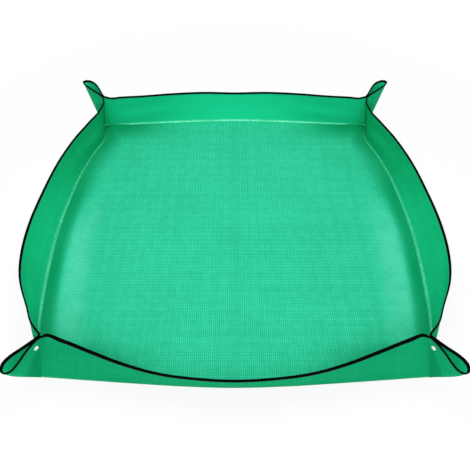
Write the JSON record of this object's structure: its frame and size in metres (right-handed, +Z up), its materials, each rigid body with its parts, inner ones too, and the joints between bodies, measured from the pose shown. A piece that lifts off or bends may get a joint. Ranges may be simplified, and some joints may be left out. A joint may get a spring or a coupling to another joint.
{
  "type": "repotting mat",
  "caption": "Square woven repotting mat with a bound edge, its pinched corners held by press snaps so the rim stands up as a shallow tray; unsnapped, it opens out.",
  "frame": {"origin": "middle of the floor panel's underside, which is the bottom centre of the part's box", "axes": "+Z up out of the tray; -Y towards the front wall; +X to the right"},
  "size_m": [0.724, 0.6466, 0.1005],
  "materials": {
    "cloth": "coated woven polyethylene, slight sheen",
    "binding": "black woven tape, matt",
    "snap": "bright nickel plate"
  },
  "bodies": {
    "floor": {"floor_panel": "cloth"},
    "front_wall": {"front_wall": "cloth", "front_wall_binding": "binding"},
    "right_wall": {"right_wall": "cloth", "right_wall_binding": "binding"},
    "back_wall": {"back_wall": "cloth", "back_wall_binding": "binding"},
    "left_wall": {"left_wall": "cloth", "left_wall_binding": "binding"},
    "front_left_ear_front": {"front_left_ear_front_half": "cloth", "front_left_ear_front_binding": "binding", "front_left_snap_cap": "snap", "front_left_snap_socket": "snap", "front_left_snap_spring": "snap"},
    "front_left_ear_left": {"front_left_ear_left_half": "cloth", "front_left_ear_left_binding": "binding", "front_left_snap_stud": "snap", "front_left_snap_post": "snap"},
    "front_right_ear_front": {"front_right_ear_front_half": "cloth", "front_right_ear_front_binding": "binding", "front_right_snap_cap": "snap", "front_right_snap_socket": "snap", "front_right_snap_spring": "snap"},
    "front_right_ear_right": {"front_right_ear_right_half": "cloth", "front_right_ear_right_binding": "binding", "front_right_snap_stud": "snap", "front_right_snap_post": "snap"},
    "back_left_ear_back": {"back_left_ear_back_half": "cloth", "back_left_ear_back_binding": "binding", "back_left_snap_cap": "snap", "back_left_snap_socket": "snap", "back_left_snap_spring": "snap"},
    "back_left_ear_left": {"back_left_ear_left_half": "cloth", "back_left_ear_left_binding": "binding", "back_left_snap_stud": "snap", "back_left_snap_post": "snap"},
    "back_right_ear_back": {"back_right_ear_back_half": "cloth", "back_right_ear_back_binding": "binding", "back_right_snap_cap": "snap", "back_right_snap_socket": "snap", "back_right_snap_spring": "snap"},
    "back_right_ear_right": {"back_right_ear_right_half": "cloth", "back_right_ear_right_binding": "binding", "back_right_snap_stud": "snap", "back_right_snap_post": "snap"}
  },
  "joints": [
    {"name": "front_wall_fold", "type": "hinge", "parent": "floor", "child": "front_wall", "pos_m": [0, -0.288, 0.0003], "axis": [1, 0, 0], "range_deg": [0, 45]},
    {"name": "right_wall_fold", "type": "hinge", "parent": "floor", "child": "right_wall", "pos_m": [0.288, 0, 0.0003], "axis": [0, 1, 0], "range_deg": [0, 45]},
    {"name": "back_wall_fold", "type": "hinge", "parent": "floor", "child": "back_wall", "pos_m": [0, 0.288, 0.0003], "axis": [-1, 0, 0], "range_deg": [0, 45]},
    {"name": "left_wall_fold", "type": "hinge", "parent": "floor", "child": "left_wall", "pos_m": [-0.288, 0, 0.0003], "axis": [0, -1, 0], "range_deg": [0, 45]},
    {"name": "front_left_ear_front_crease", "type": "hinge", "parent": "front_wall", "child": "front_left_ear_front", "pos_m": [-0.288, -0.29, 0.0003], "axis": [-0.2398, -0.2184, -0.9459], "range_deg": [0, 47.41]},
    {"name": "front_left_ear_left_crease", "type": "hinge", "parent": "left_wall", "child": "front_left_ear_left", "pos_m": [-0.29, -0.288, 0.0003], "axis": [0.2184, 0.2398, 0.9459], "range_deg": [0, 47.41]},
    {"name": "front_right_ear_front_crease", "type": "hinge", "parent": "front_wall", "child": "front_right_ear_front", "pos_m": [0.288, -0.29, 0.0003], "axis": [-0.2398, 0.2184, 0.9459], "range_deg": [0, 47.41]},
    {"name": "front_right_ear_right_crease", "type": "hinge", "parent": "right_wall", "child": "front_right_ear_right", "pos_m": [0.29, -0.288, 0.0003], "axis": [0.2184, -0.2398, -0.9459], "range_deg": [0, 47.41]},
    {"name": "back_left_ear_back_crease", "type": "hinge", "parent": "back_wall", "child": "back_left_ear_back", "pos_m": [-0.288, 0.29, 0.0003], "axis": [0.2398, -0.2184, 0.9459], "range_deg": [0, 47.41]},
    {"name": "back_left_ear_left_crease", "type": "hinge", "parent": "left_wall", "child": "back_left_ear_left", "pos_m": [-0.29, 0.288, 0.0003], "axis": [-0.2184, 0.2398, -0.9459], "range_deg": [0, 47.41]},
    {"name": "back_right_ear_back_crease", "type": "hinge", "parent": "back_wall", "child": "back_right_ear_back", "pos_m": [0.288, 0.29, 0.0003], "axis": [0.2398, 0.2184, -0.9459], "range_deg": [0, 47.41]},
    {"name": "back_right_ear_right_crease", "type": "hinge", "parent": "right_wall", "child": "back_right_ear_right", "pos_m": [0.29, 0.288, 0.0003], "axis": [-0.2184, -0.2398, 0.9459], "range_deg": [0, 47.41]}
  ],
  "couplings": [
    {"joint": "right_wall_fold", "follows": "front_wall_fold", "ratio": 1},
    {"joint": "back_wall_fold", "follows": "front_wall_fold", "ratio": 1},
    {"joint": "left_wall_fold", "follows": "front_wall_fold", "ratio": 1},
    {"joint": "front_left_ear_front_crease", "follows": "front_wall_fold", "ratio": 1.0534},
    {"joint": "front_left_ear_left_crease", "follows": "front_wall_fold", "ratio": 1.0534},
    {"joint": "front_right_ear_front_crease", "follows": "front_wall_fold", "ratio": 1.0534},
    {"joint": "front_right_ear_right_crease", "follows": "front_wall_fold", "ratio": 1.0534},
    {"joint": "back_left_ear_back_crease", "follows": "front_wall_fold", "ratio": 1.0534},
    {"joint": "back_left_ear_left_crease", "follows": "front_wall_fold", "ratio": 1.0534},
    {"joint": "back_right_ear_back_crease", "follows": "front_wall_fold", "ratio": 1.0534},
    {"joint": "back_right_ear_right_crease", "follows": "front_wall_fold", "ratio": 1.0534}
  ]
}
